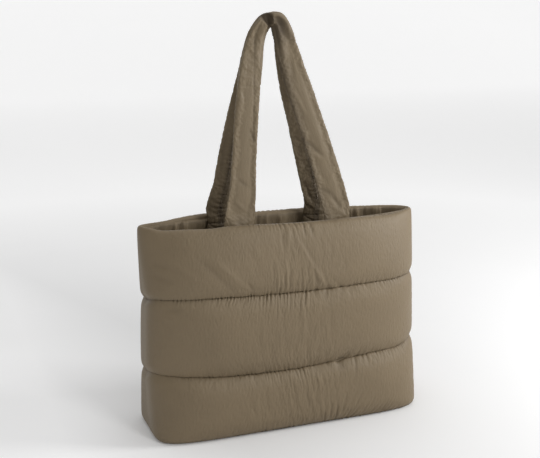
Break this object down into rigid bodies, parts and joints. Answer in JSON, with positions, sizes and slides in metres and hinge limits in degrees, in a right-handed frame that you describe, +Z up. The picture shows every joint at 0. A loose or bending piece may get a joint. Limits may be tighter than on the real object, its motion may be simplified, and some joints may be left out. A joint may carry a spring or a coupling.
{
  "type": "quilted tote bag",
  "caption": "Open-topped padded tote bag with horizontal quilted bands, a rounded rim and a pair of padded shoulder straps sewn inside the rim.",
  "frame": {"origin": "on the floor, under the middle of the bag", "axes": "+Z up from the floor to the straps, +X along the bag's width, -Y out of its front"},
  "size_m": [0.4446, 0.1584, 0.6102],
  "materials": {
    "shell": "matt taupe padded nylon with a faint sheen, puckered along its quilting lines",
    "lining": "thin matt taupe lining cloth"
  },
  "bodies": {
    "root": {"front_panel": "shell", "back_panel": "shell", "base_panel": "shell", "lining": "lining", "front_strap": "shell", "back_strap": "shell"}
  },
  "joints": []
}
